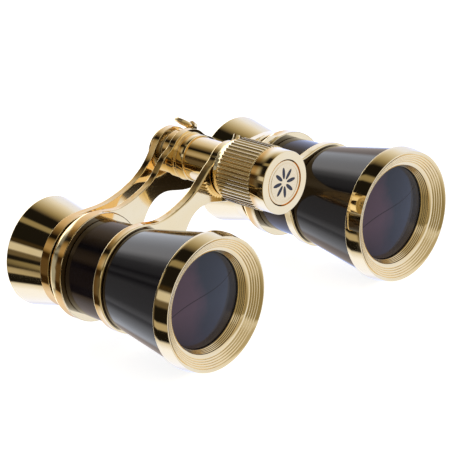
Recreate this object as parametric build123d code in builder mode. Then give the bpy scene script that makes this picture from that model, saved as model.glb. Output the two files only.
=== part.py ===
from build123d import *
import os
from math import copysign, cos, radians, sin, sqrt

os.makedirs("parts", exist_ok=True)

# Galilean opera glasses, 3 x 25, in millimetres.
# X runs across the two barrels, +Y points the way the glasses look, +Z is up.
# The origin is at the bottom centre of the whole instrument, with the focus at rest.
# A station is a distance behind the front rims of the objective bezels.

# ---- Overall layout ----
length = 59.2                 # front rims to eyecup rims
barrel_spacing = 69.4         # between the two optical axes
bezel_r = 17.5                # the widest turned part, which the barrels rest on
knob_above_barrels = 18.6     # focus axis above the optical axes
front_y = length / 2
half_spacing = barrel_spacing / 2
barrel_z = bezel_r
focus_z = barrel_z + knob_above_barrels
sides = (("right", half_spacing), ("left", -half_spacing))

# ---- Play ----
seat = 0.05                   # threaded, pressed or cemented seats, each way
slide = 0.05                  # radial play of a sliding or turning fit

# ---- Objective end ----
rim_r = 17.0
rim_lip_r = 16.75
throat_r = 13.0               # where the bezel's front cone ends
throat_at = 2.4
stop_r = 12.2                 # lip in front of the objective
stop_start = 4.4
stop_end = 4.8
land_start = 3.0              # cylindrical from here back to the bezel's shoulder
bezel_back = 4.5
thread_spigot_r = 14.1
thread_spigot_end = 8.5
cell_r = 13.3                 # tail of the bezel, which holds the objective
cell_end = 12.2
objective_r = 12.5            # a 25 mm objective
groove_count = 5
groove_first_r = 13.95
groove_pitch = 0.52
groove_r = 0.13
crown_front_centre, crown_front_edge = 3.4, 4.92
crown_back_centre, crown_back_edge = 9.3, 7.4
flint_back_centre, flint_back_edge = 10.9, 10.4
cell_ring_front, cell_ring_back = 10.5, 12.1
cell_ring_r = 11.6

# ---- Barrels and bridges ----
front_plate, front_plate_end = 26.1, 28.7
front_ring_r = 13.8
rear_ring, rear_ring_end = 39.85, 43.5
rear_plate, rear_plate_end = 40.7, 42.6
rear_ring_r, rear_ring_back_r = 13.95, 13.6
lock_ring_r, lock_ring_back_r = 13.4, 12.4
barrel_end = 45.1
carriage_ring = 45.9
carriage_plate, carriage_plate_end = 46.9, 48.8
carriage_ring_r = 12.3
tube_mouth_r = 16.2           # front end of the inner tube's cone
tube_neck_r = 12.2            # back end of the cone
tube_r = 11.6
tube_wall = 1.0
guide_start = 34.0            # bored to guide the draw tube from here back
draw_r = 9.6
draw_bore_r = 8.9
draw_start, draw_end = 25.0, 51.8
sleeve_wall = 0.7
sleeve_gap = 0.15             # shadow line between a sleeve and the ring behind it
rear_sleeve_front_r, rear_sleeve_back_r = 12.75, 12.35

# ---- Bridge arms, as (distance from the middle, height above the optical axes) ----
front_hub_r = 6.6
rear_hub_r = 7.0
carriage_hub_r = 6.4
arm_leaves_at = 50            # round the hub from straight up, where the arm begins
front_arm = [(7.2, 21.2), (13.0, 16.6), (18.5, 14.0), (26.5, 12.6)]
rear_arm = [(8.1, 21.3), (13.0, 16.7), (18.5, 14.1), (26.5, 12.7)]
carriage_arm = [(6.7, 20.3), (10.4, 16.6), (15.6, 13.9), (25.0, 12.0)]
arch_foot_z = 10.0            # the plate's lower edge under the hub
arch = [(5.8, 11.0), (9.6, 11.8), (14.2, 10.6), (17.0, 7.7)]
flank_angle = 12              # below level, where the arch meets the barrel ring

# ---- Eyepieces ----
eyecup_neck_r = 12.0
eyecup_r = 14.2
eyecup_lip_r = 13.3
rim_roll = 0.4
bowl_mid_r, bowl_mid_at = 11.2, 57.0
bowl_floor_at = 55.9
eye_stop_r = 7.9
eye_lens_r = 8.6
eye_lens_front, eye_lens_back = 52.6, 55.15
eye_front_centre, eye_back_centre = 53.06, 53.97
eye_ring_front = 51.9
eye_ring_r = 7.8

# ---- Focusing gear ----
knob_front, knob_smooth_end = 8.15, 12.95
knob_flute_end, knob_back = 23.9, 25.65
knob_r = 8.1
knob_flute_r = 8.35
knob_collar_r = 7.6
flute_count = 48
flute_r = 0.42
flute_depth = 0.3
badge_r = 5.65
badge_recess_r = 5.95
badge_at, badge_floor = 8.3, 9.05
petal_count = 8
petal_ring_r = 2.3
petal_length, petal_width = 2.6, 0.8
engraving_depth = 0.12
washer_front, washer_back, washer_r = 25.7, 26.05, 5.8
bush_r, bush_end = 4.55, 31.0
centre_tube_r, centre_tube_bore_r = 5.6, 4.6
centre_tube_start = 27.1
collar_r, collar_start, collar_end = 6.0, 37.6, 40.0
front_boss_r, front_boss_start = 6.1, 40.05
rear_boss_r = 6.2
spindle_r, spindle_start, spindle_end = 3.0, 13.0, 46.4
spindle_flange_r, spindle_flange_end = 4.2, 32.0
thread_r = 2.9
tap_r = 1.0
tap_depth = 3.0
plunger_r, plunger_bore_r, plunger_start = 4.55, 3.9, 33.2
nut_length = 4.8
stop_washer_r, stop_washer_end, stop_head_end = 3.55, 47.0, 47.5
knob_screw_head_r, knob_screw_head_end = 2.6, 10.6
knob_screw_r, knob_screw_end = 1.4, 17.0
cap_r, cap_end, cap_spigot = 5.6, 50.3, 48.2
slot_width = 0.7
slot_depth = 0.5
hub_screw_r, hub_screw_at = 0.55, 27.75
hub_screw_head_r, hub_screw_head = 0.95, 1.7

# ---- Strap ring, on the rear boss ----
lug_at = 43.85
lug_r = 1.2                   # round the eye
lug_thickness = 1.2
lug_stem_r = 0.5
lug_eye_r = 0.73
lug_eye_height = rear_boss_r + 1.35         # from the focus axis out to the eye
ring_wire_r = 0.6
ring_mid_r = 2.6
ring_rise = 4                 # at rest, the ring lies back and rises this much

# The hub screw and the strap lug lean from straight up towards the left barrel, in degrees.
screw_lean = 32
strap_lean = 38

plan = Plane.XY.offset(barrel_z)            # holds both optical axes
focus_plan = Plane.XY.offset(focus_z)       # holds the focus axis
barrel_centres = [(x, -knob_above_barrels) for side, x in sides]


def at(station):
    """The Y of a station behind the front rims."""
    return front_y - station


def across(station):
    """Upright plane at a station, drawn from the focus axis, that extrudes backwards."""
    return Plane(origin=(0, at(station), focus_z), x_dir=(1, 0, 0), z_dir=(0, -1, 0))


def axis_at(x, z):
    """A fore-and-aft axis to turn a part about."""
    return Axis((x, 0, z), (0, 1, 0))


def outline(x, points):
    """Closed plan outline from (radius, station) points about the axis at x."""
    Polyline([(x + radius, at(station)) for radius, station in points], close=True)


def lens_face(x, edge_r, centre_at, edge_at):
    """Ball-shaped lens face, from the axis out to the edge."""
    sag = edge_at - centre_at
    ball_r = (edge_r**2 + sag**2) / (2 * sag)
    middle_r = edge_r / 2
    middle_at = centre_at + ball_r - copysign(sqrt(ball_r**2 - middle_r**2), ball_r)
    ThreePointArc((x, at(centre_at)), (x + middle_r, at(middle_at)), (x + edge_r, at(edge_at)))


def lens_outline(x, edge_r, front_centre, front_edge, back_centre, back_edge):
    """Closed half section of a lens."""
    lens_face(x, edge_r, front_centre, front_edge)
    lens_face(x, edge_r, back_centre, back_edge)
    Line((x + edge_r, at(front_edge)), (x + edge_r, at(back_edge)))
    Line((x, at(front_centre)), (x, at(back_centre)))


def outwards(lean):
    """Away from the focus axis, leaning to the left."""
    return Vector(-sin(radians(lean)), 0, cos(radians(lean)))


def sideways(lean):
    """Square to outwards, and level with the plates."""
    return Vector(cos(radians(lean)), 0, sin(radians(lean)))


def over_hub(lean, station, radius):
    """A point on the leaning line from the focus axis at a station."""
    return Vector(0, at(station), focus_z) + radius * outwards(lean)


def on_hub(lean, station, radius):
    """Plane across the leaning line, that extrudes outwards."""
    return Plane(origin=over_hub(lean, station, radius), x_dir=sideways(lean), z_dir=outwards(lean))


def beside_hub(lean, station, radius):
    """Plane along the leaning line, with X forwards and Y outwards."""
    return Plane(origin=over_hub(lean, station, radius), x_dir=(0, 1, 0), z_dir=sideways(lean))


def half_bridge(ring_r, hub_r, arm):
    """One arm and half of the hub, from the focus axis out to a barrel axis."""
    ring_z = -knob_above_barrels
    leave = radians(arm_leaves_at)
    flank = radians(flank_angle)
    arm_start = (hub_r * sin(leave), hub_r * cos(leave))
    arm_end = (half_spacing, ring_z + ring_r)
    foot = (0, ring_z + arch_foot_z)
    arch_end = (half_spacing - ring_r * cos(flank), ring_z - ring_r * sin(flank))
    ThreePointArc((0, hub_r), (hub_r * sin(leave / 2), hub_r * cos(leave / 2)), arm_start)
    Spline(
        arm_start,
        *[(x, ring_z + height) for x, height in arm],
        arm_end,
        tangents=[(cos(leave), -sin(leave)), (1, 0)],
    )
    Line((0, hub_r), foot)
    Spline(
        foot,
        *[(x, ring_z + height) for x, height in arch],
        arch_end,
        tangents=[(1, 0), (sin(flank), -cos(flank))],
    )
    Polyline(arch_end, (half_spacing, ring_z), arm_end)


def save(piece, name):
    """Labels a finished piece and writes its file."""
    piece.part.label = name
    export_step(piece.part, "parts/" + name + ".step")


# ---- Bridges ----
with BuildPart() as front_bridge:
    with BuildSketch(across(front_plate)):
        with BuildLine():
            half_bridge(front_ring_r, front_hub_r, front_arm)
        make_face()
        mirror(about=Plane.YZ)
        with Locations(barrel_centres):
            Circle(front_ring_r)
            Circle(tube_r + seat, mode=Mode.SUBTRACT)
        Circle(bush_r + seat, mode=Mode.SUBTRACT)
    extrude(amount=front_plate_end - front_plate)
    with BuildSketch(across(centre_tube_start)):
        Circle(centre_tube_r + seat)
    extrude(amount=front_plate_end - centre_tube_start, mode=Mode.SUBTRACT)
    with BuildSketch(on_hub(screw_lean, hub_screw_at, centre_tube_r)):
        Circle(hub_screw_r + seat)
    extrude(amount=front_hub_r - centre_tube_r + seat, mode=Mode.SUBTRACT)
save(front_bridge, "front_bridge")

with BuildPart() as rear_bridge:
    with BuildSketch(across(rear_plate)):
        with BuildLine():
            half_bridge(rear_ring_r - seat, rear_hub_r, rear_arm)
        make_face()
        mirror(about=Plane.YZ)
    extrude(amount=rear_plate_end - rear_plate)
    for side, x in sides:
        with BuildSketch(plan):
            with BuildLine():
                outline(x, [
                    (tube_r, rear_ring),
                    (rear_ring_r - 2 * seat, rear_ring),
                    (rear_ring_r, rear_ring + 2 * seat),
                    (rear_ring_r, rear_plate_end),
                    (rear_ring_back_r, rear_ring_end),
                    (tube_r, rear_ring_end),
                ])
            make_face()
        revolve(axis=axis_at(x, barrel_z))
    with BuildSketch(across(front_boss_start)):
        Circle(front_boss_r)
    extrude(amount=rear_plate - front_boss_start)
    with BuildSketch(across(rear_plate_end)):
        Circle(rear_boss_r)
    extrude(amount=barrel_end - rear_plate_end)
    with BuildSketch(across(rear_ring)):
        with Locations(barrel_centres):
            Circle(tube_r + seat)
        Circle(centre_tube_r + seat)
    extrude(amount=barrel_end - rear_ring, mode=Mode.SUBTRACT)
    with BuildSketch(on_hub(strap_lean, lug_at, centre_tube_r)):
        Circle(lug_stem_r + seat)
    extrude(amount=rear_boss_r - centre_tube_r + seat, mode=Mode.SUBTRACT)
save(rear_bridge, "rear_bridge")

with BuildPart() as eyepiece_bridge:
    with BuildSketch(across(carriage_plate)):
        with BuildLine():
            half_bridge(carriage_ring_r, carriage_hub_r, carriage_arm)
        make_face()
        mirror(about=Plane.YZ)
    extrude(amount=carriage_plate_end - carriage_plate)
    with BuildSketch(across(carriage_ring)):
        with Locations(barrel_centres):
            Circle(carriage_ring_r)
    extrude(amount=carriage_plate_end - carriage_ring)
    with BuildSketch(across(carriage_ring)):
        with Locations(barrel_centres):
            Circle(draw_r + seat)
        Circle(plunger_r + seat)
    extrude(amount=carriage_plate_end - carriage_ring, mode=Mode.SUBTRACT)
save(eyepiece_bridge, "eyepiece_bridge")

# ---- Fixed parts on the focus axis ----
with BuildPart() as centre_tube:
    with BuildSketch(across(centre_tube_start)):
        Circle(centre_tube_r)
        Circle(centre_tube_bore_r, mode=Mode.SUBTRACT)
    extrude(amount=barrel_end - centre_tube_start)
save(centre_tube, "centre_tube")

with BuildPart() as tube_collar:
    with BuildSketch(across(collar_start)):
        Circle(collar_r)
        Circle(centre_tube_r + seat, mode=Mode.SUBTRACT)
    extrude(amount=collar_end - collar_start)
    front_rim = tube_collar.faces().sort_by(Axis.Y)[-1].edges().sort_by(SortBy.RADIUS)[-1]
    fillet(front_rim, radius=3 * seat)
save(tube_collar, "tube_collar")

with BuildPart() as spindle_bush:
    with BuildSketch(across(front_plate)):
        Circle(bush_r)
        Circle(spindle_r + slide, mode=Mode.SUBTRACT)
    extrude(amount=bush_end - front_plate)
save(spindle_bush, "spindle_bush")

with BuildPart() as thrust_washer:
    with BuildSketch(across(washer_front)):
        Circle(washer_r)
        Circle(spindle_r + slide, mode=Mode.SUBTRACT)
    extrude(amount=washer_back - washer_front)
save(thrust_washer, "thrust_washer")

screw_head_at = front_hub_r + seat
with BuildPart() as front_hub_screw:
    with BuildSketch(on_hub(screw_lean, hub_screw_at, centre_tube_r + 2 * seat)):
        Circle(hub_screw_r)
    extrude(amount=screw_head_at - centre_tube_r)
    with BuildSketch(on_hub(screw_lean, hub_screw_at, screw_head_at)):
        Circle(hub_screw_head_r)
    extrude(amount=hub_screw_head)
    with BuildSketch(on_hub(screw_lean, hub_screw_at, screw_head_at + hub_screw_head - slot_depth)):
        Rectangle(2 * hub_screw_head_r, slot_width / 2)
    extrude(amount=slot_depth, mode=Mode.SUBTRACT)
save(front_hub_screw, "front_hub_screw")

lug_foot = lug_eye_height - rear_boss_r - seat
with BuildPart() as strap_lug:
    with BuildSketch(beside_hub(strap_lean, lug_at, lug_eye_height)):
        Circle(lug_r)
        with Locations((0, -lug_foot / 2)):
            Rectangle(2 * lug_r, lug_foot)
        Circle(lug_eye_r, mode=Mode.SUBTRACT)
    extrude(amount=lug_thickness / 2, both=True)
    with BuildSketch(on_hub(strap_lean, lug_at, centre_tube_r + 2 * seat)):
        Circle(lug_stem_r)
    extrude(amount=rear_boss_r - centre_tube_r)
save(strap_lug, "strap_lug")

rise = radians(ring_rise)
ring_normal = cos(rise) * outwards(strap_lean) + sin(rise) * Vector(0, 1, 0)
ring_back = sin(rise) * outwards(strap_lean) - cos(rise) * Vector(0, 1, 0)
ring_centre = over_hub(strap_lean, lug_at, lug_eye_height) + ring_mid_r * ring_back
with BuildPart() as strap_ring:
    with BuildSketch(beside_hub(strap_lean, lug_at, lug_eye_height)):
        Circle(ring_wire_r)
    revolve(axis=Axis(ring_centre, ring_normal))
save(strap_ring, "strap_ring")

# ---- Focus wheel ----
with BuildPart() as focus_knob:
    with BuildSketch(focus_plan):
        with BuildLine():
            outline(0, [
                (knob_screw_head_r + seat, badge_floor),
                (badge_recess_r, badge_floor),
                (badge_recess_r, knob_front),
                (knob_r - 5 * seat, knob_front),
                (knob_r, knob_front + 5 * seat),
                (knob_r, knob_smooth_end - 5 * seat),
                (knob_r - 3 * seat, knob_smooth_end),
                (knob_flute_r, knob_smooth_end + 3 * seat),
                (knob_flute_r, knob_flute_end - 5 * seat),
                (knob_collar_r, knob_flute_end),
                (knob_collar_r, knob_back - 3 * seat),
                (knob_collar_r - 3 * seat, knob_back),
                (spindle_r + seat, knob_back),
                (spindle_r + seat, spindle_start - seat),
                (knob_screw_r + seat, spindle_start - seat),
                (knob_screw_r + seat, knob_screw_head_end + seat),
                (knob_screw_head_r + seat, knob_screw_head_end + seat),
            ])
        make_face()
    revolve(axis=axis_at(0, focus_z))
    with BuildSketch(across(knob_smooth_end)):
        with PolarLocations(knob_flute_r + flute_r - flute_depth, flute_count):
            Circle(flute_r)
    extrude(amount=knob_flute_end - knob_smooth_end, mode=Mode.SUBTRACT)
save(focus_knob, "focus_knob")

with BuildPart() as knob_badge:
    with BuildSketch(across(badge_at)):
        Circle(badge_r)
    extrude(amount=badge_floor - badge_at)
    badge_rim = knob_badge.faces().sort_by(Axis.Y)[-1].edges()
    fillet(badge_rim, radius=3 * seat)
    with BuildSketch(across(badge_at)):
        with PolarLocations(petal_ring_r, petal_count):
            Ellipse(petal_length / 2, petal_width / 2)
    extrude(amount=engraving_depth, mode=Mode.SUBTRACT)
save(knob_badge, "knob_badge")

with BuildPart() as knob_screw:
    with BuildSketch(across(badge_floor + seat)):
        Circle(knob_screw_head_r)
    extrude(amount=knob_screw_head_end - badge_floor - seat)
    with BuildSketch(across(knob_screw_head_end)):
        Circle(knob_screw_r)
    extrude(amount=knob_screw_end - knob_screw_head_end)
    with BuildSketch(across(badge_floor + seat)):
        Rectangle(2 * knob_screw_head_r, slot_width)
    extrude(amount=slot_depth, mode=Mode.SUBTRACT)
save(knob_screw, "knob_screw")

with BuildPart() as focus_spindle:
    with BuildSketch(focus_plan):
        with BuildLine():
            outline(0, [
                (knob_screw_r + seat, spindle_start),
                (spindle_r, spindle_start),
                (spindle_r, bush_end + seat),
                (spindle_flange_r, bush_end + seat),
                (spindle_flange_r, spindle_flange_end),
                (thread_r, spindle_flange_end),
                (thread_r, spindle_end),
                (tap_r + seat, spindle_end),
                (tap_r + seat, spindle_end - tap_depth - seat),
                (0, spindle_end - tap_depth - seat),
                (0, knob_screw_end + seat),
                (knob_screw_r + seat, knob_screw_end + seat),
            ])
        make_face()
    revolve(axis=axis_at(0, focus_z))
save(focus_spindle, "focus_spindle")

with BuildPart() as spindle_stop:
    with BuildSketch(focus_plan):
        with BuildLine():
            outline(0, [
                (0, spindle_end - tap_depth),
                (tap_r, spindle_end - tap_depth),
                (tap_r, spindle_end + seat),
                (stop_washer_r, spindle_end + seat),
                (stop_washer_r, stop_washer_end),
                (2 * tap_r, stop_washer_end),
                (2 * tap_r, stop_head_end),
                (0, stop_head_end),
            ])
        make_face()
    revolve(axis=axis_at(0, focus_z))
save(spindle_stop, "spindle_stop")

# ---- Sliding parts on the focus axis ----
with BuildPart() as plunger_tube:
    with BuildSketch(across(plunger_start)):
        Circle(plunger_r)
        Circle(plunger_bore_r, mode=Mode.SUBTRACT)
    extrude(amount=carriage_plate_end - plunger_start)
save(plunger_tube, "plunger_tube")

with BuildPart() as focus_nut:
    with BuildSketch(across(plunger_start)):
        Circle(plunger_bore_r - seat)
        Circle(thread_r + slide, mode=Mode.SUBTRACT)
    extrude(amount=nut_length)
save(focus_nut, "focus_nut")

with BuildPart() as bridge_cap_screw:
    with BuildSketch(across(cap_spigot)):
        Circle(plunger_bore_r - seat)
    extrude(amount=carriage_plate_end + seat - cap_spigot)
    with BuildSketch(across(carriage_plate_end + seat)):
        Circle(cap_r)
    extrude(amount=cap_end - carriage_plate_end - seat)
    cap_rim = bridge_cap_screw.faces().sort_by(Axis.Y)[0].edges()
    fillet(cap_rim, radius=rim_roll)
    with BuildSketch(across(cap_end - slot_depth)):
        Rectangle(2 * cap_r, slot_width)
    extrude(amount=slot_depth, mode=Mode.SUBTRACT)
save(bridge_cap_screw, "bridge_cap_screw")

# ---- Barrels, one of everything on each side ----
cone_slope = (tube_mouth_r - tube_neck_r) / (front_plate - bezel_back)
cone_lip_slope = throat_at / (rim_lip_r - throat_r)
groove_radii = [groove_first_r + groove_pitch * step for step in range(groove_count)]


def cone_r(station):
    """Outer radius of the inner tube's front cone."""
    return tube_mouth_r - cone_slope * (station - bezel_back)


for side, x in sides:
    optical_axis = axis_at(x, barrel_z)

    with BuildPart() as objective_bezel:
        with BuildSketch(plan):
            with BuildLine():
                outline(x, [
                    (rim_lip_r, 0),
                    (rim_r - seat, 0),
                    (rim_r, seat),
                    (bezel_r, land_start),
                    (bezel_r, bezel_back - 3 * seat),
                    (bezel_r - 3 * seat, bezel_back),
                    (thread_spigot_r, bezel_back),
                    (thread_spigot_r, thread_spigot_end),
                    (cell_r, thread_spigot_end),
                    (cell_r, cell_end),
                    (objective_r + seat, cell_end),
                    (objective_r + seat, stop_end),
                    (stop_r, stop_end),
                    (stop_r, stop_start),
                    (throat_r, throat_at),
                ])
            make_face()
        revolve(axis=optical_axis)
        with BuildSketch(plan):
            with Locations([(x + r, at(cone_lip_slope * (rim_lip_r - r))) for r in groove_radii]):
                Circle(groove_r)
        revolve(axis=optical_axis, mode=Mode.SUBTRACT)
    save(objective_bezel, side + "_objective_bezel")

    with BuildPart() as objective_crown:
        with BuildSketch(plan):
            with BuildLine():
                lens_outline(x, objective_r, crown_front_centre, crown_front_edge,
                             crown_back_centre, crown_back_edge)
            make_face()
        revolve(axis=optical_axis)
    save(objective_crown, side + "_objective_crown")

    with BuildPart() as objective_flint:
        with BuildSketch(plan):
            with BuildLine():
                lens_outline(x, objective_r, crown_back_centre + seat, crown_back_edge + seat,
                             flint_back_centre, flint_back_edge)
            make_face()
        revolve(axis=optical_axis)
    save(objective_flint, side + "_objective_flint")

    with BuildPart() as objective_cell_ring:
        with BuildSketch(across(cell_ring_front)):
            with Locations((x, -knob_above_barrels)):
                Circle(objective_r)
                Circle(cell_ring_r, mode=Mode.SUBTRACT)
        extrude(amount=cell_ring_back - cell_ring_front)
        with BuildSketch(across(cell_ring_back - slot_depth)):
            with Locations((x, -knob_above_barrels)):
                Rectangle(2 * objective_r, slot_width)
        extrude(amount=slot_depth, mode=Mode.SUBTRACT)
    save(objective_cell_ring, side + "_objective_cell_ring")

    with BuildPart() as barrel_tube:
        with BuildSketch(plan):
            with BuildLine():
                outline(x, [
                    (thread_spigot_r + seat, bezel_back + seat),
                    (cone_r(bezel_back + seat), bezel_back + seat),
                    (tube_neck_r, front_plate - seat),
                    (tube_r, front_plate - seat),
                    (tube_r, barrel_end - seat),
                    (draw_r + slide, barrel_end - seat),
                    (draw_r + slide, guide_start),
                    (tube_r - tube_wall, guide_start),
                    (tube_r - tube_wall, front_plate),
                    (cone_r(thread_spigot_end + 4 * seat) - tube_wall, thread_spigot_end + 4 * seat),
                    (thread_spigot_r + seat, thread_spigot_end + 4 * seat),
                ])
            make_face()
        revolve(axis=optical_axis)
    save(barrel_tube, side + "_barrel_tube")

    with BuildPart() as front_sleeve:
        with BuildSketch(plan):
            with BuildLine():
                outline(x, [
                    (cone_r(bezel_back + seat) + seat, bezel_back + seat),
                    (cone_r(bezel_back + seat) + seat + sleeve_wall, bezel_back + seat),
                    (tube_neck_r + seat + sleeve_wall, front_plate - sleeve_gap),
                    (tube_neck_r + seat, front_plate - sleeve_gap),
                ])
            make_face()
        revolve(axis=optical_axis)
    save(front_sleeve, side + "_front_sleeve")

    with BuildPart() as rear_sleeve:
        with BuildSketch(plan):
            with BuildLine():
                outline(x, [
                    (tube_r + seat, front_plate_end + seat),
                    (rear_sleeve_front_r, front_plate_end + seat),
                    (rear_sleeve_back_r, rear_ring - sleeve_gap),
                    (tube_r + seat, rear_ring - sleeve_gap),
                ])
            make_face()
        revolve(axis=optical_axis)
    save(rear_sleeve, side + "_rear_sleeve")

    with BuildPart() as barrel_lock_ring:
        with BuildSketch(plan):
            with BuildLine():
                outline(x, [
                    (tube_r + seat, rear_ring_end + seat),
                    (lock_ring_r, rear_ring_end + seat),
                    (lock_ring_back_r, barrel_end - seat),
                    (lock_ring_back_r - seat, barrel_end),
                    (tube_r + seat, barrel_end),
                ])
            make_face()
        revolve(axis=optical_axis)
    save(barrel_lock_ring, side + "_barrel_lock_ring")

    with BuildPart() as draw_tube:
        with BuildSketch(across(draw_start)):
            with Locations((x, -knob_above_barrels)):
                Circle(draw_r)
                Circle(draw_bore_r, mode=Mode.SUBTRACT)
        extrude(amount=draw_end - draw_start)
    save(draw_tube, side + "_draw_tube")

    with BuildPart() as eyecup:
        with BuildSketch(plan):
            with BuildLine():
                Polyline([(x + r, at(station)) for r, station in [
                    (eyecup_lip_r, length - rim_roll / 2),
                    (eyecup_lip_r + rim_roll / 2, length),
                    (eyecup_r - rim_roll, length),
                ]])
                ThreePointArc(
                    (x + eyecup_r - rim_roll, at(length)),
                    (x + eyecup_r - rim_roll * (1 - sqrt(0.5)), at(length - rim_roll * (1 - sqrt(0.5)))),
                    (x + eyecup_r, at(length - rim_roll)),
                )
                Polyline([(x + r, at(station)) for r, station in [
                    (eyecup_r, length - rim_roll),
                    (eyecup_neck_r, carriage_plate_end + seat),
                    (draw_r + seat, carriage_plate_end + seat),
                    (draw_r + seat, draw_end + seat),
                    (eye_lens_r + seat, draw_end + seat),
                    (eye_lens_r + seat, eye_lens_back + seat),
                    (eye_stop_r, eye_lens_back + seat),
                    (eye_stop_r, bowl_floor_at),
                ]])
                ThreePointArc(
                    (x + eye_stop_r, at(bowl_floor_at)),
                    (x + bowl_mid_r, at(bowl_mid_at)),
                    (x + eyecup_lip_r, at(length - rim_roll / 2)),
                )
            make_face()
        revolve(axis=optical_axis)
    save(eyecup, side + "_eyecup")

    with BuildPart() as eye_lens:
        with BuildSketch(plan):
            with BuildLine():
                lens_outline(x, eye_lens_r, eye_front_centre, eye_lens_front,
                             eye_back_centre, eye_lens_back)
            make_face()
        revolve(axis=optical_axis)
    save(eye_lens, side + "_eye_lens")

    with BuildPart() as eye_lens_ring:
        with BuildSketch(across(eye_ring_front)):
            with Locations((x, -knob_above_barrels)):
                Circle(eye_lens_r)
                Circle(eye_ring_r, mode=Mode.SUBTRACT)
        extrude(amount=eye_lens_front - seat - eye_ring_front)
    save(eye_lens_ring, side + "_eye_lens_ring")
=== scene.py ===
from math import copysign, cos, pi, radians, sin, sqrt, tan

import bmesh
import bpy
from mathutils import Matrix, Vector


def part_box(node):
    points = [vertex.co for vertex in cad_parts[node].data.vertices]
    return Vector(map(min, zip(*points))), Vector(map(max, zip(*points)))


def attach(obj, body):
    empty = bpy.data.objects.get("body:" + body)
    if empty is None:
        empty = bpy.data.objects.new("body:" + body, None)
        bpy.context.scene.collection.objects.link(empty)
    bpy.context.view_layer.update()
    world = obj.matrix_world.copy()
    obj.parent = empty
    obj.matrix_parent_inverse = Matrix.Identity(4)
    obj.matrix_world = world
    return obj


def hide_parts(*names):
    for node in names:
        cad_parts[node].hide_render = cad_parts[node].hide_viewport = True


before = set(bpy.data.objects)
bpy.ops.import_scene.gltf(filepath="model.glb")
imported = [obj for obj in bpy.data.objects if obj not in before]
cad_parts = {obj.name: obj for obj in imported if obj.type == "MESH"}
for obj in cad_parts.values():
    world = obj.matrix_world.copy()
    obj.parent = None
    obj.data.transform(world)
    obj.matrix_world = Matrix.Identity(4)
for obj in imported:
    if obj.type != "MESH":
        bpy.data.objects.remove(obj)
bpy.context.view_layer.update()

# Galilean opera glasses in gilt brass and black enamel.
# X runs across the barrels, +Y points the way they look, +Z is up, and lengths are in metres.
# A station is a distance in millimetres behind the front rims. Radii are in millimetres too.
MM = 0.001

# ---- Camera ----
CAMERA_AZIMUTH = 134.59       # round the object, from in front and to the right
CAMERA_ELEVATION = 21.98
CAMERA_ROLL = -3.46
CAMERA_DISTANCE = 0.811
CAMERA_LENS = 256.55
CAMERA_SENSOR = 36
CAMERA_TARGET = Vector((1.77, 1.6, 20.72)) * MM

# ---- Turned pieces ----
TURNS = 288                   # facets round a turned piece
FILLET_STEPS = 5
FINE_EDGE = 0.12              # the rounding of a polished edge
SOFT_EDGE = 0.2

# ---- Softened copies of CAD pieces ----
MERGE_DISTANCE = 1e-4         # points nearer than this are one point
FLAT_ANGLE = 0.4              # facets flatter than this, in degrees, are one face
SHARP_ANGLE = 28              # an edge sharper than this, in degrees, is rounded
EDGE_STEPS = 4

# ---- Where things are ----
bezel_low, bezel_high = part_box("right_objective_bezel")
FRONT_Y = bezel_high.y
BARREL_Z = (bezel_low.z + bezel_high.z) / 2
tube_low, tube_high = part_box("centre_tube")
FOCUS = Vector((0, FRONT_Y, (tube_low.z + tube_high.z) / 2))
SIDES = ("right", "left")


def barrel(side):
    """The optical axis of one barrel, level with the front rims."""
    low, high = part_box(side + "_objective_bezel")
    return Vector(((low.x + high.x) / 2, FRONT_Y, BARREL_Z))


def station(y):
    """How far a Y of the frame is behind the front rims."""
    return (FRONT_Y - y) / MM


def ends(node):
    """The front and back stations of a CAD node."""
    low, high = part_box(node)
    return station(high.y), station(low.y)


def radius(node):
    """The largest radius of a turned CAD node."""
    low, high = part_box(node)
    return (high.x - low.x) / 2 / MM


# ---- Mesh tools ----
def rounded(corners):
    """Closed outline from corners of (radius, station, fillet)."""
    outline = []
    for index, (r, s, fillet) in enumerate(corners):
        here = Vector((r, s))
        if not fillet:
            outline.append(here)
            continue
        before = (Vector(corners[index - 1][:2]) - here).normalized()
        after = (Vector(corners[(index + 1) % len(corners)][:2]) - here).normalized()
        half = before.angle(after) / 2
        centre = here + (before + after).normalized() * fillet / sin(half)
        start = here + before * fillet / tan(half) - centre
        end = here + after * fillet / tan(half) - centre
        for step in range(FILLET_STEPS + 1):
            share = step / FILLET_STEPS
            arm = start.lerp(end, share).normalized() * fillet
            outline.append(centre + arm)
    return outline


def show(piece, body, slot, *nodes):
    """Finishes a new piece: its material, its body and the CAD nodes that it stands for."""
    piece.data.materials.append(looks[slot])
    bpy.context.scene.collection.objects.link(piece)
    for face in piece.data.polygons:
        face.use_smooth = True
    piece.modifiers.new("flat faces stay flat", "WEIGHTED_NORMAL")
    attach(piece, body)
    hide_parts(*nodes)
    return piece


def lathe(name, axis, outline, relief=None, turns=TURNS):
    """Turns a closed outline of (radius, station) about a fore-and-aft axis.
    relief(radius, station, angle) gives how much is cut away there."""
    points = []
    for turn in range(turns):
        angle = 2 * pi * turn / turns
        for r, s in outline:
            if relief:
                r = r - relief(r, s, angle)
            points.append((r * sin(angle) * MM, -s * MM, r * cos(angle) * MM))
    count = len(outline)
    faces = []
    for turn in range(turns):
        this, following = turn * count, (turn + 1) % turns * count
        for index in range(count):
            after = (index + 1) % count
            faces.append((this + index, this + after, following + after, following + index))
    mesh = bpy.data.meshes.new(name)
    mesh.from_pydata(points, [], faces)
    solid = bmesh.new()
    solid.from_mesh(mesh)
    bmesh.ops.remove_doubles(solid, verts=solid.verts, dist=MERGE_DISTANCE * MM)
    bmesh.ops.recalc_face_normals(solid, faces=solid.faces)
    solid.to_mesh(mesh)
    solid.free()
    piece = bpy.data.objects.new(name, mesh)
    piece.location = axis
    return piece


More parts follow.
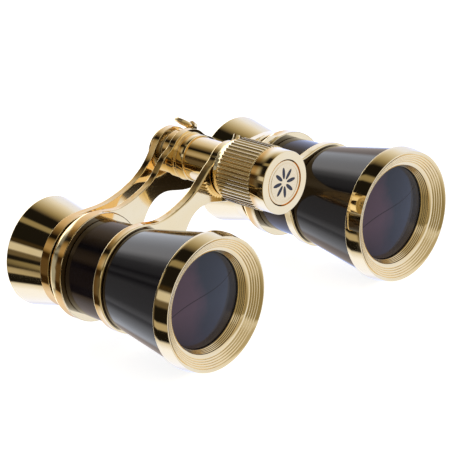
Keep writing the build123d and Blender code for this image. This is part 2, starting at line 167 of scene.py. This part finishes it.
def softened(name, node, edge):
    """A copy of a CAD node with its sharp edges rounded."""
    solid = bmesh.new()
    solid.from_mesh(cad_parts[node].data)
    bmesh.ops.remove_doubles(solid, verts=solid.verts, dist=MERGE_DISTANCE * MM)
    bmesh.ops.dissolve_limit(
        solid, angle_limit=radians(FLAT_ANGLE), verts=solid.verts, edges=solid.edges
    )
    sharp = [
        line for line in solid.edges
        if len(line.link_faces) == 2 and line.calc_face_angle() > radians(SHARP_ANGLE)
    ]
    bmesh.ops.bevel(
        solid, geom=sharp, offset=edge * MM, offset_type="OFFSET", segments=EDGE_STEPS,
        profile=0.5, affect="EDGES", clamp_overlap=False,
    )
    solid.verts.index_update()
    mesh = bpy.data.meshes.new(name)
    mesh.from_pydata(
        [vertex.co[:] for vertex in solid.verts], [],
        [[vertex.index for vertex in face.verts] for face in solid.faces],
    )
    solid.free()
    return bpy.data.objects.new(name, mesh)


# ---- Node trees ----
class Graph:
    """A short way to write a node tree."""

    def __init__(self, owner):
        owner.use_nodes = True
        self.tree = owner.node_tree
        self.tree.nodes.clear()

    def node(self, kind, inputs=None, **settings):
        made = self.tree.nodes.new("ShaderNode" + kind)
        for key, value in settings.items():
            setattr(made, key, value)
        for key, value in (inputs or {}).items():
            self.put(value, made.inputs[key])
        return made

    def put(self, value, socket):
        if isinstance(value, bpy.types.NodeSocket):
            self.tree.links.new(value, socket)
        else:
            socket.default_value = value

    def maths(self, operation, *values):
        made = self.node("Math", operation=operation)
        for value, socket in zip(values, made.inputs):
            self.put(value, socket)
        return made.outputs[0]

    def noise(self, place, scale, detail=3.0, stretch=(1, 1, 1)):
        """Cloudy noise, where stretch says how fine it is along each axis."""
        spread = self.node("Mapping", {"Vector": place, "Scale": stretch}).outputs[0]
        made = self.node("TexNoise", {"Vector": spread, "Scale": scale, "Detail": detail})
        return made.outputs["Fac"]

    def ranged(self, value, low, high, to_low, to_high):
        """Maps low..high to to_low..to_high, and no further at either end."""
        return self.node("MapRange", {
            "Value": value, "From Min": low, "From Max": high, "To Min": to_low, "To Max": to_high,
        }).outputs[0]

    def mix(self, share, first, second):
        made = self.node("Mix", data_type="RGBA")
        self.put(share, made.inputs[0])
        self.put(first, made.inputs[6])
        self.put(second, made.inputs[7])
        return made.outputs[2]

    def bump(self, height, strength, distance, normal=None):
        inputs = {"Height": height, "Strength": strength, "Distance": distance}
        if normal:
            inputs["Normal"] = normal
        return self.node("Bump", inputs).outputs[0]

    def surface(self, **inputs):
        """The shader itself. An underscore stands for a space in a socket's name."""
        sockets = {key.replace("_", " "): value for key, value in inputs.items()}
        shader = self.node("BsdfPrincipled", sockets)
        output = self.node("OutputMaterial")
        self.tree.links.new(shader.outputs[0], output.inputs[0])


def material(name):
    made = bpy.data.materials.new(name)
    return made, Graph(made)


# ---- Materials ----
def gilt(name, tint, worn_tint, polish):
    """Gold plate over polished brass: tiny polishing marks, smears and a slightly uneven colour."""
    made, g = material(name)
    place = g.node("TexCoord").outputs["Object"]
    clouds = g.noise(place, 90, 4)
    smears = g.noise(place, 260, 5, (1, 0.25, 1))
    marks = g.noise(place, 2200, 2, (0.15, 1, 0.15))
    colour = g.mix(g.ranged(clouds, 0.35, 0.7, 0, 1), tint, worn_tint)
    roughness = g.ranged(smears, 0.3, 0.75, polish, polish + 0.07)
    g.surface(
        Base_Color=colour, Metallic=1.0, Roughness=roughness,
        Normal=g.bump(marks, 0.06, 0.004 * MM),
    )
    return made


def enamel(name):
    """Thick glossy black enamel, with a faint ripple, hazy wiping marks and a little dust."""
    made, g = material(name)
    place = g.node("TexCoord").outputs["Object"]
    ripple = g.noise(place, 120, 2)
    haze = g.noise(place, 300, 5, (1, 0.4, 1))
    specks = g.noise(place, 5200, 1)
    dust = g.ranged(specks, 0.73, 0.78, 0, 0.35)
    colour = g.mix(dust, (0.0055, 0.0045, 0.0062, 1), (0.035, 0.03, 0.03, 1))
    g.surface(
        Base_Color=colour, Roughness=g.ranged(haze, 0.3, 0.8, 0.05, 0.14), IOR=1.46,
        Specular_Tint=(1, 0.81, 0.6, 1), Normal=g.bump(ripple, 0.08, 0.02 * MM),
    )
    return made


def blackening(name):
    """Matt black lacquer on the inside metal."""
    made, g = material(name)
    place = g.node("TexCoord").outputs["Object"]
    grain = g.noise(place, 2400, 3)
    patches = g.noise(place, 200, 3)
    colour = g.mix(patches, (0.006, 0.006, 0.0065, 1), (0.017, 0.016, 0.015, 1))
    g.surface(
        Base_Color=colour, Metallic=0.4, Roughness=g.ranged(grain, 0.3, 0.7, 0.45, 0.7),
        Normal=g.bump(grain, 0.25, 0.01 * MM),
    )
    return made


REFLECTION_TINT_START, REFLECTION_TINT_END = -0.5 * MM, 4.5 * MM     # where the painted reflection turns from slate blue to plum, across the lens
REFLECTION_TINT_WAVER = 1.5 * MM
PAINTED_SHADE_LOW, PAINTED_SHADE_HIGH = -10 * MM, -1 * MM        # where painted shade darkens the lens, downwards
LINE_HEIGHT, LINE_SLOPE = 1.9 * MM, 0.1
LINE_BEND, LINE_BEND_SPAN = 1.6 * MM, 11 * MM
LINE_CORE, LINE_BLUR = 0.04 * MM, 0.22 * MM


def coated_glass(name):
    """A coated lens, painted as an opaque one over a dark barrel: a painted reflection of its coating,
    plum to one side and slate blue to the other, painted shade low down, smears and one thin dark
    curved line."""
    made, g = material(name)
    place = g.node("TexCoord").outputs["Object"]
    x, y, z = g.node("SeparateXYZ", {"Vector": place}).outputs
    smears = g.noise(place, 150, 4)
    wavy = g.maths("ADD", x, g.ranged(smears, 0.3, 0.7, -REFLECTION_TINT_WAVER, REFLECTION_TINT_WAVER))
    reflection_tint = g.ranged(wavy, REFLECTION_TINT_START, REFLECTION_TINT_END, 0, 1)
    # Painted reflection: the coating's colour as seen in reflection, slate blue to plum across the
    # lens.
    colour = g.mix(reflection_tint, (0.026, 0.034, 0.05, 1), (0.075, 0.048, 0.068, 1))
    # Painted shade: the lens is darker towards the bottom.
    painted_shade = g.ranged(z, PAINTED_SHADE_LOW, PAINTED_SHADE_HIGH, 0.75, 0)
    colour = g.mix(painted_shade, colour, (0.006, 0.005, 0.014, 1))
    cubed = g.maths("POWER", g.maths("DIVIDE", x, LINE_BEND_SPAN), 3.0)
    drop = g.maths("ADD", g.maths("MULTIPLY", x, LINE_SLOPE), g.maths("MULTIPLY", cubed, LINE_BEND))
    off_line = g.maths("ABSOLUTE", g.maths("SUBTRACT", g.maths("ADD", z, drop), LINE_HEIGHT))
    on_line = g.ranged(off_line, LINE_CORE, LINE_BLUR, 0.75, 0)
    colour = g.mix(on_line, colour, (0.004, 0.004, 0.006, 1))
    g.surface(
        Base_Color=colour, Roughness=g.ranged(smears, 0.3, 0.8, 0.04, 0.1), IOR=1.36,
        Specular_Tint=(1, 0.75, 0.45, 1),
    )
    return made


def bright_metal(name, tint, polish):
    """Turned metal with fine tool marks."""
    made, g = material(name)
    place = g.node("TexCoord").outputs["Object"]
    marks = g.noise(place, 3000, 2, (0.1, 1, 0.1))
    shade = g.noise(place, 180, 3)
    dull = tuple(part * 0.8 for part in tint[:3]) + (1,)
    g.surface(
        Base_Color=g.mix(shade, dull, tint), Metallic=1.0,
        Roughness=g.ranged(marks, 0.3, 0.7, polish, polish + 0.15),
        Normal=g.bump(marks, 0.15, 0.01 * MM),
    )
    return made


looks = {
    "polished_gold": gilt("polished_gold_look", (0.99, 0.78, 0.42, 1), (0.98, 0.74, 0.36, 1), 0.03),
    "black_enamel": enamel("black_enamel_look"),
    "blackened_metal": blackening("blackened_metal_look"),
    "coated_glass": coated_glass("coated_glass_look"),
    "bearing_brass": bright_metal("bearing_brass_look", (0.83, 0.62, 0.3, 1), 0.2),
    "bright_steel": bright_metal("bright_steel_look", (0.6, 0.58, 0.55, 1), 0.18),
}
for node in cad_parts.values():
    for held in node.material_slots:
        held.material = looks[held.material.name]


# ---- Objective bezels ----
RIM_LIP_R = 16.75
RIM_INSET = 0.5               # how much slimmer the bezel is at its front rim than at its land
THROAT_R, THROAT_AT = 13.0, 2.4
STOP_R, STOP_START, STOP_END = 12.2, 4.4, 4.8
LAND_START, BEZEL_BACK = 3.0, 4.5
SPIGOT_R, SPIGOT_BORE_R, SPIGOT_END = 14.1, 12.55, 8.5
GROOVE_FIRST_R, GROOVE_PITCH, GROOVE_COUNT = 13.95, 0.52, 5
GROOVE_WIDTH, GROOVE_DEPTH = 0.34, 0.17
GROOVE_STEPS = 10
THROAT_LINES, THROAT_STEPS, THROAT_MARGIN, THROAT_DEPTH = 4, 8, 0.08, 0.07


def turned_cone():
    """The bezel's front cone from its throat outwards, with fine turned grooves."""
    slope = THROAT_AT / (RIM_LIP_R - THROAT_R)
    points = []
    for groove in range(GROOVE_COUNT):
        middle = GROOVE_FIRST_R + GROOVE_PITCH * groove
        for step in range(GROOVE_STEPS + 1):
            share = step / GROOVE_STEPS
            r = middle + GROOVE_WIDTH * (share - 0.5)
            depth = GROOVE_DEPTH * (1 - cos(2 * pi * share)) / 2
            points.append(Vector((r, slope * (RIM_LIP_R - r) + depth)))
    return points


def turned_throat():
    """The throat's wall from the objective's stop forwards, with fine turned lines."""
    points = []
    for line in range(THROAT_LINES):
        for step in range(THROAT_STEPS + 1):
            share = (line + step / THROAT_STEPS) / THROAT_LINES
            share = THROAT_MARGIN + (1 - 2 * THROAT_MARGIN) * share
            depth = THROAT_DEPTH * (1 - cos(2 * pi * step / THROAT_STEPS)) / 2
            r = STOP_R + (THROAT_R - STOP_R) * share + depth
            points.append(Vector((r, STOP_START + (THROAT_AT - STOP_START) * share)))
    return points


def objective_bezel(side):
    node = side + "_objective_bezel"
    bezel_r = radius(node)
    behind = rounded([
        (RIM_LIP_R, 0, 0.08),
        (bezel_r - RIM_INSET, 0, 0.1),
        (bezel_r, LAND_START, 0),
        (bezel_r, BEZEL_BACK, SOFT_EDGE),
        (SPIGOT_R, BEZEL_BACK, 0),
        (SPIGOT_R, SPIGOT_END, 0),
        (SPIGOT_BORE_R, SPIGOT_END, 0),
        (SPIGOT_BORE_R, STOP_END, 0),
        (STOP_R, STOP_END, 0.05),
        (STOP_R, STOP_START, 0.05),
        (THROAT_R, THROAT_AT, 0.1),
    ])
    throat_edge = len(behind) - FILLET_STEPS - 1      # where the throat's own fillet begins
    outline = behind[:throat_edge] + turned_throat() + behind[throat_edge:] + turned_cone()
    piece = lathe(side + "_bezel_turned", barrel(side), outline)
    return show(piece, "frame", "polished_gold", node)


# ---- Enamelled sleeves and turned rings ----
def cone_ring(name, node, side, corners, body, slot):
    """A turned ring of either barrel."""
    piece = lathe(name, barrel(side), rounded(corners))
    return show(piece, body, slot, node)


FRONT_SLEEVE_WALL = 0.7
FRONT_SLEEVE_BACK_R = 12.95


def front_sleeve(side):
    node = side + "_front_sleeve"
    front, back = ends(node)
    r = radius(node)
    return cone_ring(side + "_front_sleeve_enamelled", node, side, [
        (r - FRONT_SLEEVE_WALL, front, 0),
        (r, front, SOFT_EDGE),
        (FRONT_SLEEVE_BACK_R, back, SOFT_EDGE),
        (FRONT_SLEEVE_BACK_R - FRONT_SLEEVE_WALL, back, 0),
    ], "frame", "black_enamel")


REAR_SLEEVE_BACK_R = 12.35
TUBE_R = 11.65


def rear_sleeve(side):
    node = side + "_rear_sleeve"
    front, back = ends(node)
    r = radius(node)
    return cone_ring(side + "_rear_sleeve_enamelled", node, side, [
        (TUBE_R, front, 0),
        (r, front, SOFT_EDGE),
        (REAR_SLEEVE_BACK_R, back, SOFT_EDGE),
        (TUBE_R, back, 0),
    ], "frame", "black_enamel")


LOCK_RING_BACK_R = 12.4


def lock_ring(side):
    node = side + "_barrel_lock_ring"
    front, back = ends(node)
    r = radius(node)
    return cone_ring(side + "_lock_ring_turned", node, side, [
        (TUBE_R, front, 0),
        (r, front, FINE_EDGE),
        (LOCK_RING_BACK_R, back, FINE_EDGE),
        (TUBE_R, back, 0),
    ], "frame", "polished_gold")


# ---- Eyecups ----
EYECUP_NECK_R = 12.0
EYECUP_LIP_R = 13.3
BOWL_STEPS = 24
BOWL_MID_R, BOWL_MID_AT = 11.2, 57.0
BOWL_FLOOR_AT = 55.9
EYE_STOP_R = 7.9
DRAW_SEAT_R = 9.65
EYE_SEAT_R, EYE_SEAT_FRONT, EYE_SEAT_BACK = 8.65, 51.85, 55.2


def arc(start, middle, end, steps):
    """Points on the circle through three points, from the start to the end."""
    a, b, c = Vector(start), Vector(middle), Vector(end)
    first, second = b - a, c - a
    twice = 2 * (first.x * second.y - first.y * second.x)
    ux = (second.y * first.length_squared - first.y * second.length_squared) / twice
    uy = (first.x * second.length_squared - second.x * first.length_squared) / twice
    centre = a + Vector((ux, uy))
    sweep = (a - centre).angle_signed(b - centre) + (b - centre).angle_signed(c - centre)
    points = []
    for step in range(steps + 1):
        turn = Matrix.Rotation(-sweep * step / steps, 2)
        points.append(centre + turn @ (a - centre))
    return points


def eyecup(side):
    node = side + "_eyecup"
    front, back = ends(node)
    r = radius(node)
    shell = rounded([
        (EYECUP_LIP_R + 0.1, back, 0.08),
        (r, back, 0.35),
        (EYECUP_NECK_R, front, FINE_EDGE),
        (DRAW_SEAT_R, front, 0),
        (DRAW_SEAT_R, EYE_SEAT_FRONT, 0),
        (EYE_SEAT_R, EYE_SEAT_FRONT, 0),
        (EYE_SEAT_R, EYE_SEAT_BACK, 0),
        (EYE_STOP_R, EYE_SEAT_BACK, 0),
    ])
    bowl = arc((EYE_STOP_R, BOWL_FLOOR_AT), (BOWL_MID_R, BOWL_MID_AT), (EYECUP_LIP_R, back - 0.15),
               BOWL_STEPS)
    piece = lathe(side + "_eyecup_turned", barrel(side), shell + bowl)
    return show(piece, "eyepiece_carriage", "polished_gold", node)


# ---- Lenses ----
LENS_STEPS = 20
# The stations of a lens: its front face at the centre and the edge, then its back face.
CROWN_LENS = (3.4, 4.92), (9.3, 7.4)
EYE_LENS = (53.06, 52.6), (53.97, 55.15)


def lens_face(r, centre, edge):
    """A ball-shaped face from its centre out to the radius r."""
    sag = edge - centre
    ball = (r * r + sag * sag) / (2 * sag)
    points = []
    for step in range(LENS_STEPS + 1):
        out = r * step / LENS_STEPS
        points.append(Vector((out, centre + ball - copysign(sqrt(ball * ball - out * out), ball))))
    return points


def lens(node, side, body, front, back):
    """A lens with two ball-shaped faces."""
    r = radius(node)
    outline = lens_face(r, *front) + lens_face(r, *back)[::-1]
    piece = lathe(node + "_polished", barrel(side), outline)
    return show(piece, body, "coated_glass", node)


for side in SIDES:
    objective_bezel(side)
    front_sleeve(side)
    rear_sleeve(side)
    lock_ring(side)
    eyecup(side)
    lens(side + "_objective_crown", side, "frame", *CROWN_LENS)
    lens(side + "_eye_lens", side, "eyepiece_carriage", *EYE_LENS)

# ---- Bridges ----
FRONT_BRIDGE_EDGE = 0.4       # the other two bridges keep to FINE_EDGE, because a wider one would fold


def bridge(node, edge, body):
    return show(softened(node + "_polished", node, edge), body, "polished_gold", node)


bridge("front_bridge", FRONT_BRIDGE_EDGE, "frame")
bridge("rear_bridge", FINE_EDGE, "frame")
bridge("eyepiece_bridge", FINE_EDGE, "eyepiece_carriage")


# ---- Focus wheel ----
KNOB_SMOOTH_END, KNOB_FLUTE_END = 12.95, 23.9
KNOB_R, KNOB_COLLAR_R = 8.1, 7.6
FLUTE_COUNT, FLUTE_STEPS = 48, 12
FLUTE_DEPTH = 0.32
FLUTE_RUN_OUT = 0.3
LAND_SHARE = 0.22             # how much of the pitch is left between two flutes
SCALLOP_POWER = 2.4           # 2 is a round scallop, and more is a squarer one
KNOB_GROOVE_DEPTH = 0.2       # a fine groove between the smooth end and the flutes
SPINDLE_HOLE_R = 3.05
BADGE_RECESS_R, BADGE_FLOOR = 5.95, 9.05


def flutes(r, s, angle):
    """How deep the knob's flutes are: scallops between narrow lands, that run out at both ends."""
    if r < KNOB_COLLAR_R + 0.1 or not KNOB_SMOOTH_END < s < KNOB_FLUTE_END:
        return 0
    place = (angle * FLUTE_COUNT / (2 * pi)) % 1
    across = abs(place - 0.5) * 2 / (1 - LAND_SHARE)
    if across >= 1:
        return 0
    run_out = min(1, (s - KNOB_SMOOTH_END) / FLUTE_RUN_OUT, (KNOB_FLUTE_END - s) / FLUTE_RUN_OUT)
    return FLUTE_DEPTH * run_out * sqrt(1 - across ** SCALLOP_POWER)


def focus_knob():
    front, back = ends("focus_knob")
    flute_r = radius("focus_knob")
    outline = rounded([
        (SPINDLE_HOLE_R, BADGE_FLOOR, 0),
        (BADGE_RECESS_R, BADGE_FLOOR, 0),
        (BADGE_RECESS_R, front, 0.06),
        (KNOB_R, front, 0.22),
        (KNOB_R, KNOB_SMOOTH_END, FINE_EDGE),
        (KNOB_R - KNOB_GROOVE_DEPTH, KNOB_SMOOTH_END + 0.02, 0),
        (flute_r, KNOB_SMOOTH_END + 0.25, 0.1),
        (flute_r, KNOB_FLUTE_END - 0.3, 0.1),
        (KNOB_COLLAR_R, KNOB_FLUTE_END, 0),
        (KNOB_COLLAR_R, back, SOFT_EDGE),
        (SPINDLE_HOLE_R, back, 0),
    ])
    piece = lathe("focus_knob_fluted", FOCUS, outline, flutes, FLUTE_COUNT * FLUTE_STEPS)
    return show(piece, "focus_wheel", "polished_gold", "focus_knob")


focus_knob()


# ---- Tube, collar and washer on the focus axis ----
CENTRE_TUBE_BORE_R, COLLAR_BORE_R = 4.6, 5.65
COLLAR_EDGE = 0.18


def plain_ring(node, inner_r, body, edge):
    """A turned tube or washer, as long and wide as its CAD node."""
    front, back = ends(node)
    r = radius(node)
    piece = lathe(node + "_turned", FOCUS, rounded([
        (inner_r, front, 0), (r, front, edge), (r, back, edge), (inner_r, back, 0),
    ]))
    return show(piece, body, "polished_gold", node)


plain_ring("centre_tube", CENTRE_TUBE_BORE_R, "frame", FINE_EDGE)
plain_ring("tube_collar", COLLAR_BORE_R, "frame", COLLAR_EDGE)
plain_ring("thrust_washer", SPINDLE_HOLE_R, "frame", FINE_EDGE)


# ---- Knob badge ----
BADGE_GROOVE_R, BADGE_GROOVE_WIDTH, BADGE_GROOVE_DEPTH = 4.75, 0.3, 0.18
PETAL_COUNT, PETAL_RING_R = 8, 2.45
PETAL_HALF_LENGTH, PETAL_HALF_WIDTH = 1.55, 0.5


def petalled(name):
    """The badge's satin gold, with a ring of engraved petals filled in black."""
    made, g = material(name)
    place = g.node("TexCoord").outputs["Object"]
    x, y, z = g.node("SeparateXYZ", {"Vector": place}).outputs
    grain = g.noise(place, 1500, 3)
    r = g.maths("SQRT", g.maths("ADD", g.maths("MULTIPLY", x, x), g.maths("MULTIPLY", z, z)))
    aside = g.maths("PINGPONG", g.maths("ARCTAN2", x, z), pi / PETAL_COUNT)
    along = g.maths("SUBTRACT", g.maths("MULTIPLY", r, g.maths("COSINE", aside)), PETAL_RING_R * MM)
    across = g.maths("MULTIPLY", r, g.maths("SINE", aside))
    along = g.maths("POWER", g.maths("DIVIDE", along, PETAL_HALF_LENGTH * MM), 2.0)
    across = g.maths("POWER", g.maths("DIVIDE", across, PETAL_HALF_WIDTH * MM), 2.0)
    filled = g.ranged(g.maths("ADD", along, across), 0.9, 1.0, 1, 0)
    colour = g.mix(g.ranged(grain, 0.35, 0.7, 0, 1), (0.95, 0.74, 0.4, 1), (0.93, 0.7, 0.36, 1))
    g.surface(
        Base_Color=g.mix(filled, colour, (0.012, 0.011, 0.013, 1)),
        Metallic=g.maths("SUBTRACT", 1.0, filled),
        Roughness=g.ranged(filled, 0, 1, 0.16, 0.35),
        Normal=g.bump(filled, 1.0, -0.03 * MM, g.bump(grain, 0.1, 0.01 * MM)),
    )
    return made


def knob_badge():
    front, back = ends("knob_badge")
    r = radius("knob_badge")
    groove = [
        (BADGE_GROOVE_R + BADGE_GROOVE_WIDTH, front, 0.04),
        (BADGE_GROOVE_R + BADGE_GROOVE_WIDTH / 2, front + BADGE_GROOVE_DEPTH, 0),
        (BADGE_GROOVE_R, front, 0.04),
    ]
    piece = lathe("knob_badge_engraved", FOCUS, rounded(
        [(0, back, 0), (r, back, 0), (r, front, FINE_EDGE)] + groove + [(0, front, 0)]
    ))
    show(piece, "focus_wheel", "polished_gold", "knob_badge")
    piece.data.materials[0] = petalled("knob_badge_look")


knob_badge()


# ---- Studio ----
# The colours of the room, in linear light.
WHITE, PALE, CREAM = (0.98, 1.14, 1.75), (0.84, 0.96, 1.4), (0.77, 0.81, 0.98)
SAND, TAN, OCHRE = (0.6, 0.6, 0.62), (0.45, 0.42, 0.36), (0.27, 0.24, 0.16)
BROWN, UMBER, BLACK = (0.12, 0.1, 0.07), (0.04, 0.028, 0.014), (0.01, 0.009, 0.008)


def grey(level):
    """A cool grey of the backdrop, which is right behind the glasses."""
    return level, 1.07 * level, 1.2 * level


# Soft boxes, strip lights and flags stand all round the glasses. Each list goes once round the
# Y axis in degrees, from under the glasses by the left, over the top and down the right.
BACKDROP = [
    (-180, grey(1.4)), (-75, grey(1.9)), (-30, grey(1.8)), (-8, grey(2.1)), (0, grey(1.5)),
    (6, grey(0.8)), (12, grey(0.6)), (18, grey(0.3)), (36, grey(0.2)), (42, grey(0.06)),
    (54, grey(0.3)), (62, grey(0.06)), (76, grey(0.35)), (124, grey(0.35)), (132, grey(0.6)),
    (139, grey(0.75)), (144, grey(0.35)), (150, grey(0.5)), (158, grey(0.9)), (180, grey(1.3)),
]
ROOM_BACK = [
    (-180, WHITE), (-140, PALE), (-105, WHITE), (-60, WHITE), (-45, PALE), (-30, CREAM),
    (-15, SAND), (0, OCHRE), (12, BROWN), (20, BLACK), (27, BLACK), (35, OCHRE), (45, TAN),
    (54, TAN), (60, OCHRE), (66, UMBER), (74, UMBER), (82, BROWN), (115, BROWN), (122, UMBER),
    (139, UMBER), (144, SAND), (156, PALE), (166, WHITE), (180, WHITE),
]
ROOM_SIDES = [
    (-180, WHITE), (-160, WHITE), (-152, PALE), (-65, PALE), (-52, CREAM), (-40, SAND),
    (-30, TAN), (-20, OCHRE), (-13, BROWN), (-8, BLACK), (12, BLACK), (15, OCHRE), (22, OCHRE),
    (25, BLACK), (54, BLACK), (57, UMBER), (62, UMBER), (66, SAND), (76, SAND), (79, BROWN),
    (86, BROWN), (89, BLACK), (95, BLACK), (98, OCHRE), (104, OCHRE), (108, BROWN), (120, UMBER),
    (125, TAN), (130, CREAM), (150, CREAM), (158, WHITE), (180, WHITE),
]
ROOM_LOW_RIGHT = [
    (110, BLACK), (113, TAN), (122, TAN), (124, BLACK), (141, BLACK), (145, CREAM), (158, WHITE),
    (180, WHITE),
]
ROOM_RIMS = [(angle, shade) for angle, shade in ROOM_SIDES if angle < 90] + ROOM_LOW_RIGHT
ROOM_FRONT = [
    (-180, CREAM), (-150, PALE), (-90, PALE), (-35, CREAM), (-15, TAN), (30, TAN), (38, SAND),
    (48, SAND), (56, OCHRE), (120, OCHRE), (150, TAN), (165, SAND), (180, CREAM),
]
# How far towards +Y each part of the room begins and ends.
BACKDROP_ENDS, DIM_BACK_BEGINS = -0.765, -0.745
DIM_BACK_ENDS, BACK_BEGINS = -0.685, -0.653
BACK_ENDS, RIMS_BEGIN = -0.64, -0.6
RIMS_END, SIDES_BEGIN = -0.39, -0.36
SIDES_END, FRONT_BEGINS = -0.05, 0.15
DIM_BACK_SHADE = (0.85, 0.64, 0.4, 1)       # dimmer and warmer, next to the backdrop


def round_the_room(g, turn, stops):
    """One list of the room's colours."""
    ramp = g.node("ValToRGB", {"Fac": turn})
    parts = ramp.color_ramp.elements
    for index, (angle, shade) in enumerate(stops):
        share = (angle + 180) / 360
        part = parts.new(share) if 0 < index < len(stops) - 1 else parts[0 if index == 0 else -1]
        part.position = share
        part.color = (*shade, 1)
    return ramp.outputs[0]


def studio():
    """The room, painted on the world by direction. The camera itself sees plain white."""
    world = bpy.data.worlds.new("studio")
    bpy.context.scene.world = world
    g = Graph(world)
    way = g.node("SeparateXYZ", {"Vector": g.node("TexCoord").outputs["Generated"]})
    x, y, z = way.outputs
    turn = g.ranged(g.maths("ARCTAN2", x, z), -pi, pi, 0, 1)
    back = round_the_room(g, turn, ROOM_BACK)
    dim_back = g.node("Mix", data_type="RGBA", blend_type="MULTIPLY")
    for value, socket in ((1.0, 0), (back, 6), (DIM_BACK_SHADE, 7)):
        g.put(value, dim_back.inputs[socket])
    colour = g.mix(
        g.ranged(y, BACKDROP_ENDS, DIM_BACK_BEGINS, 0, 1),
        round_the_room(g, turn, BACKDROP),
        dim_back.outputs[2],
    )
    colour = g.mix(g.ranged(y, DIM_BACK_ENDS, BACK_BEGINS, 0, 1), colour, back)
    for begins, ends_at, stops in (
        (BACK_ENDS, RIMS_BEGIN, ROOM_RIMS),
        (RIMS_END, SIDES_BEGIN, ROOM_SIDES),
        (SIDES_END, FRONT_BEGINS, ROOM_FRONT),
    ):
        colour = g.mix(g.ranged(y, begins, ends_at, 0, 1), colour, round_the_room(g, turn, stops))
    seen = g.node("LightPath").outputs["Is Camera Ray"]
    room = g.node("Background", {"Color": colour, "Strength": 1.0})
    sweep = g.node("Background", {"Color": (1, 1, 1, 1), "Strength": 1.0})
    both = g.node("MixShader", {0: seen, 1: room.outputs[0], 2: sweep.outputs[0]})
    output = g.node("OutputWorld")
    g.tree.links.new(both.outputs[0], output.inputs[0])


FLOOR_SIZE = 6.0


def floor():
    """A plain pale floor, bright enough to run into the background."""
    mesh = bpy.data.meshes.new("floor")
    half = FLOOR_SIZE / 2
    mesh.from_pydata(
        [(-half, -half, 0), (half, -half, 0), (half, half, 0), (-half, half, 0)], [], [(0, 1, 2, 3)]
    )
    piece = bpy.data.objects.new("floor", mesh)
    bpy.context.scene.collection.objects.link(piece)
    made, g = material("floor_paper")
    g.surface(
        Base_Color=(0.9, 0.9, 0.9, 1), Roughness=0.9,
        Emission_Color=(1, 1, 1, 1), Emission_Strength=0.85,
    )
    mesh.materials.append(made)
    piece.visible_glossy = False


def camera():
    azimuth, elevation = radians(CAMERA_AZIMUTH), radians(CAMERA_ELEVATION)
    roll = radians(CAMERA_ROLL)
    back = Vector((sin(azimuth) * cos(elevation), -cos(azimuth) * cos(elevation), sin(elevation)))
    level = Vector((cos(azimuth), sin(azimuth), 0))
    upright = back.cross(level)
    right = level * cos(roll) + upright * sin(roll)
    up = upright * cos(roll) - level * sin(roll)
    made = bpy.data.objects.new("camera", bpy.data.cameras.new("camera"))
    turn = Matrix((right, up, back)).transposed().to_4x4()
    made.matrix_world = Matrix.Translation(CAMERA_TARGET + back * CAMERA_DISTANCE) @ turn
    made.data.lens = CAMERA_LENS
    made.data.sensor_width = CAMERA_SENSOR
    bpy.context.scene.collection.objects.link(made)
    bpy.context.scene.camera = made


studio()
floor()
camera()
bpy.context.scene.view_settings.view_transform = "Standard"
